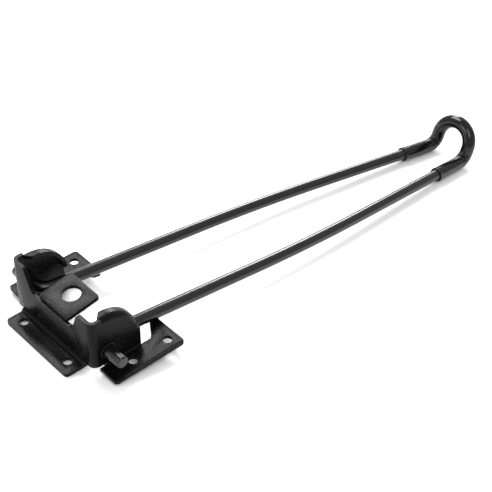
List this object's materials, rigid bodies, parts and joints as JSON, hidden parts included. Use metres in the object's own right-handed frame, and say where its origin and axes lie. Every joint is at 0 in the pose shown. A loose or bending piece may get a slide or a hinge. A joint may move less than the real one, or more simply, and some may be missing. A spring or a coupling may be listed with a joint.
{
  "type": "folding wall bracket with hairpin rod arm",
  "caption": "Pressed steel wall bracket with a hairpin rod arm that folds flat and swings out; the arm ends in a turned-up, sleeved loop that carries a saddle or a bicycle.",
  "frame": {"origin": "centre of the four side-plate holes, on the plane of the wall", "axes": "+X across the bracket, +Y from the top flange towards the folded arm's loop (downwards on a wall), +Z out of the wall"},
  "size_m": [0.1368, 0.4926, 0.1015],
  "materials": {
    "powder_coat": "semi-gloss black powder coat with fine orange peel",
    "coated_rod": "smooth semi-gloss black powder coat",
    "coated_weld": "weld bead under black powder coat",
    "nylon": "black nylon, satin",
    "vinyl": "glossy black vinyl, wrinkled inside the bends"
  },
  "bodies": {
    "bracket": {"bracket_shell": "powder_coat", "lock_tab": "powder_coat", "tab_weld": "coated_weld", "left_side_plate": "powder_coat", "left_foot_weld": "coated_weld", "left_pivot_bush": "nylon", "right_side_plate": "powder_coat", "right_foot_weld": "coated_weld", "right_pivot_bush": "nylon"},
    "arm": {"left_rod_root": "coated_rod", "right_rod_root": "coated_rod", "rod_loop": "coated_rod", "grip_sleeve": "vinyl"}
  },
  "joints": [
    {"name": "arm_fold", "type": "hinge", "parent": "bracket", "child": "arm", "pos_m": [0, -0.03115, 0.01659], "axis": [1, 0, 0], "range_deg": [0, 107]}
  ]
}
